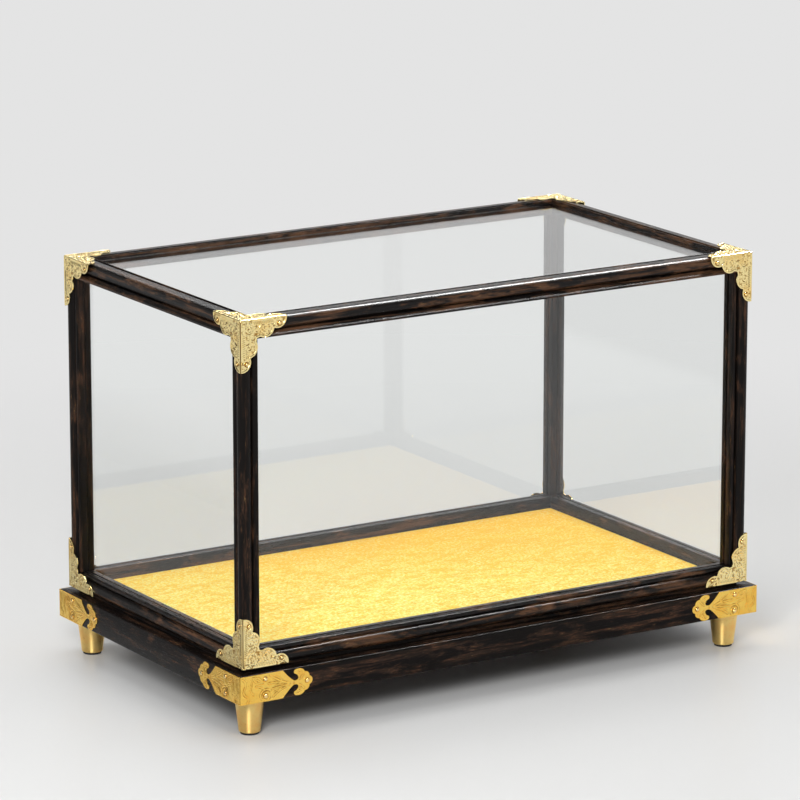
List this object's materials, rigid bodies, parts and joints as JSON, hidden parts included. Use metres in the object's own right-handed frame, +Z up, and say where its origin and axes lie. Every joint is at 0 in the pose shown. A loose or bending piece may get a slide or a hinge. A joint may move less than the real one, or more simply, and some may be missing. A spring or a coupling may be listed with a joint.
{
  "type": "display case",
  "caption": "Glazed display case: a glass and dark wood cover with brass corners lifts off a mitred base with a velvet board and turned brass feet.",
  "frame": {"origin": "centre of the footprint, on the undersides of the foot pads", "axes": "+X along the case, +Y from front to back, +Z up; the front faces -Y"},
  "size_m": [0.4028, 0.2428, 0.2713],
  "materials": {
    "ebony": "satin",
    "panel_wood": "matte",
    "board_wood": "matte",
    "velvet": "matte",
    "glass": "polished",
    "relief_brass": "polished",
    "strap_brass": "satin",
    "turned_brass": "satin",
    "steel": "satin",
    "rubber": "matte"
  },
  "bodies": {
    "base": {"front_base_rail": "ebony", "right_base_rail": "ebony", "back_base_rail": "ebony", "left_base_rail": "ebony", "base_panel": "panel_wood", "velvet_board": "board_wood", "velvet_cloth": "velvet", "front_left_strap": "strap_brass", "front_right_strap": "strap_brass", "back_right_strap": "strap_brass", "back_left_strap": "strap_brass", "front_left_foot": "turned_brass", "front_right_foot": "turned_brass", "back_right_foot": "turned_brass", "back_left_foot": "turned_brass", "front_left_foot_pad": "rubber", "front_right_foot_pad": "rubber", "back_right_foot_pad": "rubber", "back_left_foot_pad": "rubber", "front_left_foot_stud": "steel", "front_right_foot_stud": "steel", "back_right_foot_stud": "steel", "back_left_foot_stud": "steel"},
    "cover": {"front_bottom_rail": "ebony", "right_bottom_rail": "ebony", "back_bottom_rail": "ebony", "left_bottom_rail": "ebony", "front_top_rail": "ebony", "right_top_rail": "ebony", "back_top_rail": "ebony", "left_top_rail": "ebony", "front_pane": "glass", "right_pane": "glass", "back_pane": "glass", "left_pane": "glass", "top_pane": "glass", "front_left_post": "ebony", "front_right_post": "ebony", "back_right_post": "ebony", "back_left_post": "ebony", "front_left_top_fitting": "relief_brass", "front_right_top_fitting": "relief_brass", "back_right_top_fitting": "relief_brass", "back_left_top_fitting": "relief_brass", "front_left_bottom_fitting": "relief_brass", "front_right_bottom_fitting": "relief_brass", "back_right_bottom_fitting": "relief_brass", "back_left_bottom_fitting": "relief_brass"}
  },
  "joints": [
    {"name": "cover_lift", "type": "slide", "parent": "base", "child": "cover", "axis": [0, 0, 1], "range_m": [0, 0.24]}
  ]
}
